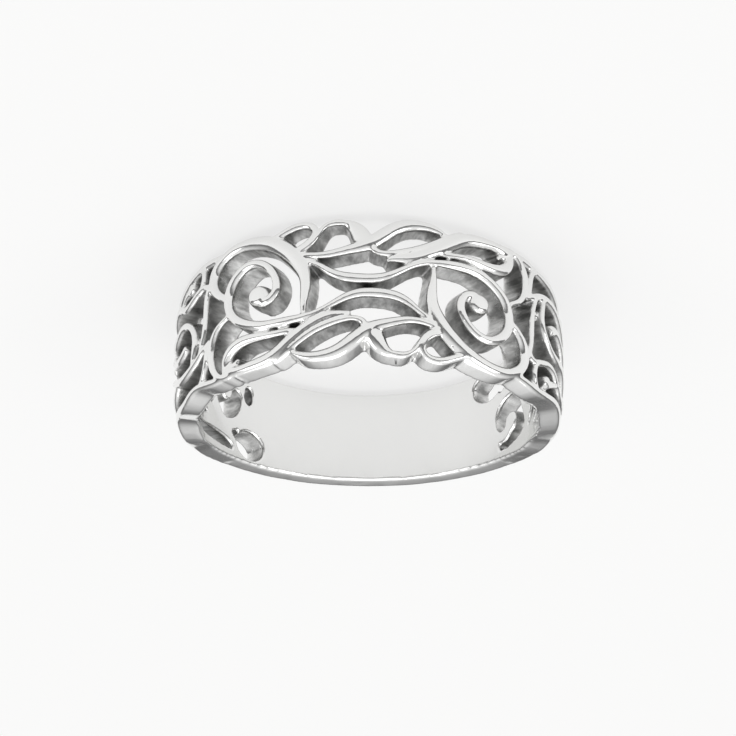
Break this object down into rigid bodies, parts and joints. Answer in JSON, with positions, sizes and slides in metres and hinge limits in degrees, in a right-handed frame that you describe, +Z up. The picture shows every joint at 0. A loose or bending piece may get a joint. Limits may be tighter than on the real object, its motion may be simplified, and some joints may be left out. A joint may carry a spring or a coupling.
{
  "type": "openwork scroll ring",
  "caption": "Finger ring in polished white gold: a plain tapered shank that opens into pierced, deep-walled scrollwork round the front, lying on its side.",
  "frame": {"origin": "on the surface the ring lies on, under the centre of its outline seen from above", "axes": "+Z up, close to the finger axis, as the ring lies on its side; -Y towards the middle of the scrollwork, +Y towards the plain shank, +X to the right of someone facing the scrollwork"},
  "size_m": [0.02, 0.0202, 0.0079],
  "materials": {
    "white_gold": "polished white gold, with the deep side walls of the piercings left as cast"
  },
  "bodies": {
    "root": {"scroll_ring": "white_gold"}
  },
  "joints": []
}
